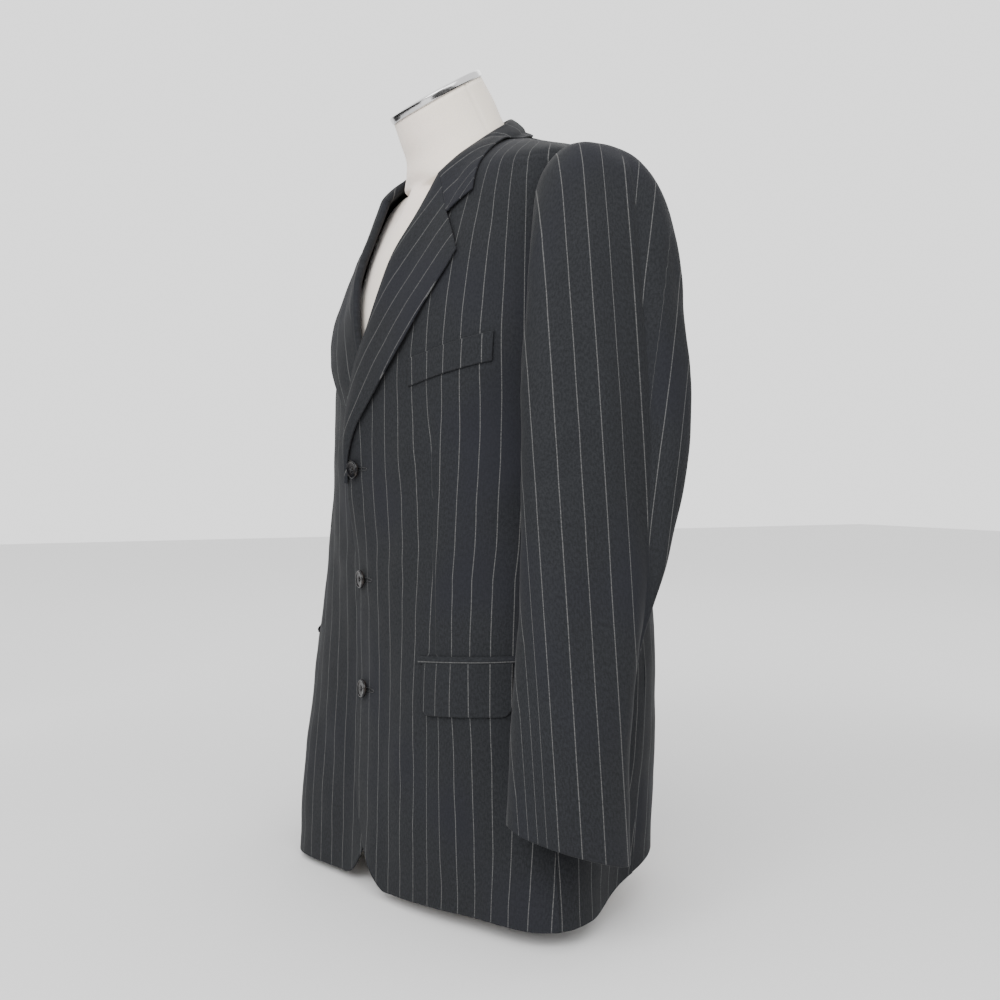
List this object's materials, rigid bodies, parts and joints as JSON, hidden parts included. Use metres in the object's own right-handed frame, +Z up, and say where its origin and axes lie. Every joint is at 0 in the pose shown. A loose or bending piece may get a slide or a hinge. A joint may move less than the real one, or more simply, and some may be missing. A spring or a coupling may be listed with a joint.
{
  "type": "three-button blazer on a limbless dress form",
  "caption": "Single-breasted notch-lapel pinstripe blazer with a chest welt and flap pockets, worn by a limbless cloth-covered dress form with a tilted metal neck cap.",
  "frame": {"origin": "centre of the dress form's flat underside", "axes": "+Z up along the form, -Y the front of the coat, +X the wearer's left"},
  "size_m": [0.62, 0.3284, 0.8637],
  "materials": {
    "cloth": "matt charcoal worsted wool with a fine grey pinstripe",
    "button": "dark polished horn-like plastic",
    "form_cloth": "smooth cream jersey over a padded form",
    "metal": "polished metal neck cap"
  },
  "bodies": {
    "root": {"front_left": "cloth", "side_left": "cloth", "back_left": "cloth", "sleeve_top_left": "cloth", "sleeve_under_left": "cloth", "lapel_left": "cloth", "flap_left": "cloth", "jet_left": "cloth", "front_right": "cloth", "side_right": "cloth", "back_right": "cloth", "sleeve_top_right": "cloth", "sleeve_under_right": "cloth", "lapel_right": "cloth", "flap_right": "cloth", "jet_right": "cloth", "collar": "cloth", "chest_welt": "cloth", "button_1": "button", "button_2": "button", "button_3": "button", "dress_form": "form_cloth", "neck_cap": "metal"}
  },
  "joints": []
}
